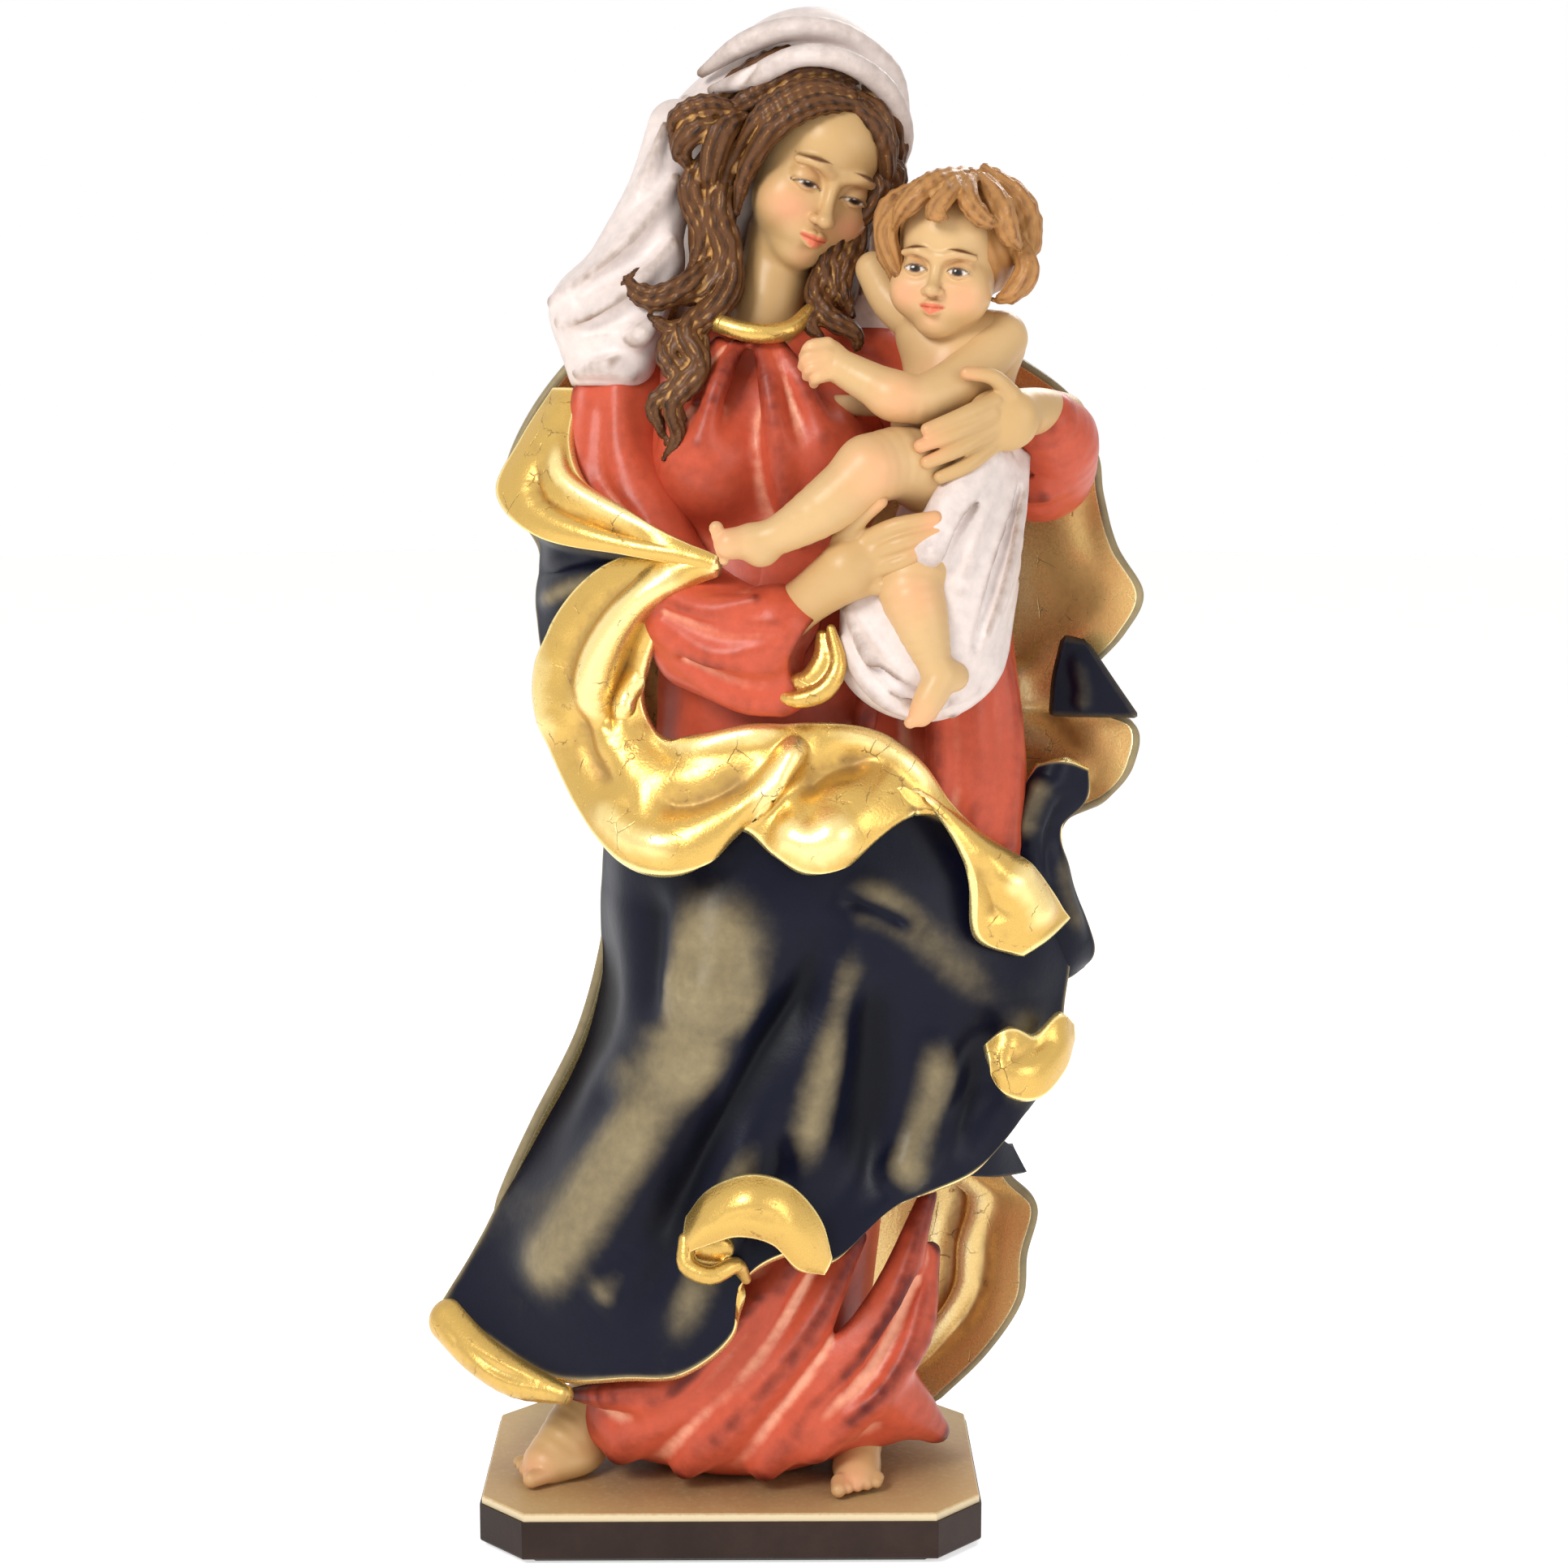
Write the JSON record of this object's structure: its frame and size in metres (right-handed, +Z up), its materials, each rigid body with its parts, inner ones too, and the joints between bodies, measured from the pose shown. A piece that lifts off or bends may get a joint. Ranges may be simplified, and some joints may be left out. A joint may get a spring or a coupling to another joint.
{
  "type": "madonna statue",
  "caption": "Standing painted figure of a veiled mother holding a child, in a gilt-lined mantle, on a cut-corner base.",
  "frame": {"origin": "centre of the base's underside, the face of the felt it stands on", "axes": "+Z up through the figure, -Y towards its front, +X to the viewer's right"},
  "size_m": [0.1561, 0.0736, 0.3001],
  "materials": {
    "felt": "dark green felt glued under the plinth",
    "plinth_paint": "dark brown paint on cast resin, satin",
    "ground_paint": "ochre ground with a brown wash, worn pale at the edge",
    "steel": "zinc-plated steel",
    "dowel_wood": "bare beech dowel",
    "red_paint": "salmon red, pale on the ridges and maroon in the folds",
    "gilding": "metal leaf over red ground, crackled and darkened in the folds",
    "skin_paint": "olive flesh paint with blushed cheeks, satin",
    "child_skin": "warm flesh paint, satin",
    "child_hair_paint": "golden brown with dark recesses",
    "white_paint": "off-white with a grey-brown wash",
    "hair_paint": "golden brown ridges over dark brown",
    "blue_paint": "navy blue, dry-brushed khaki on the ridges",
    "veil_paint": "pinkish white with a grey-brown wash"
  },
  "bodies": {
    "root": {"felt_pad": "felt", "plinth": "plinth_paint", "ground_plate": "ground_paint", "base_screws": "steel", "neck_dowel": "dowel_wood", "wrist_pins": "steel", "child_dowels": "dowel_wood", "gown_skirt": "red_paint", "gown_bodice": "red_paint", "right_sleeve": "red_paint", "left_sleeve": "red_paint", "collar_band": "gilding", "cuff_lining": "gilding", "madonna_head": "skin_paint", "right_hand": "skin_paint", "left_hand": "skin_paint", "left_foot": "skin_paint", "right_foot": "skin_paint", "child_torso": "child_skin", "child_head": "child_skin", "child_left_arm": "child_skin", "child_right_arm": "child_skin", "child_right_leg": "child_skin", "child_left_leg": "child_skin", "child_hair": "child_hair_paint", "swaddling_cloth": "white_paint", "hair_crown": "hair_paint", "hair_right_locks": "hair_paint", "hair_left_locks": "hair_paint", "mantle_back": "blue_paint", "mantle_apron": "blue_paint", "mantle_left_fall": "blue_paint", "mantle_left_tail": "blue_paint", "apron_turnover": "gilding", "mantle_right_wing": "gilding", "mantle_right_swirl": "gilding", "apron_middle_curl": "gilding", "apron_side_curl": "gilding", "apron_corner_roll": "gilding", "veil_hood": "veil_paint", "veil_right_fall": "veil_paint", "veil_left_fall": "veil_paint"}
  },
  "joints": []
}
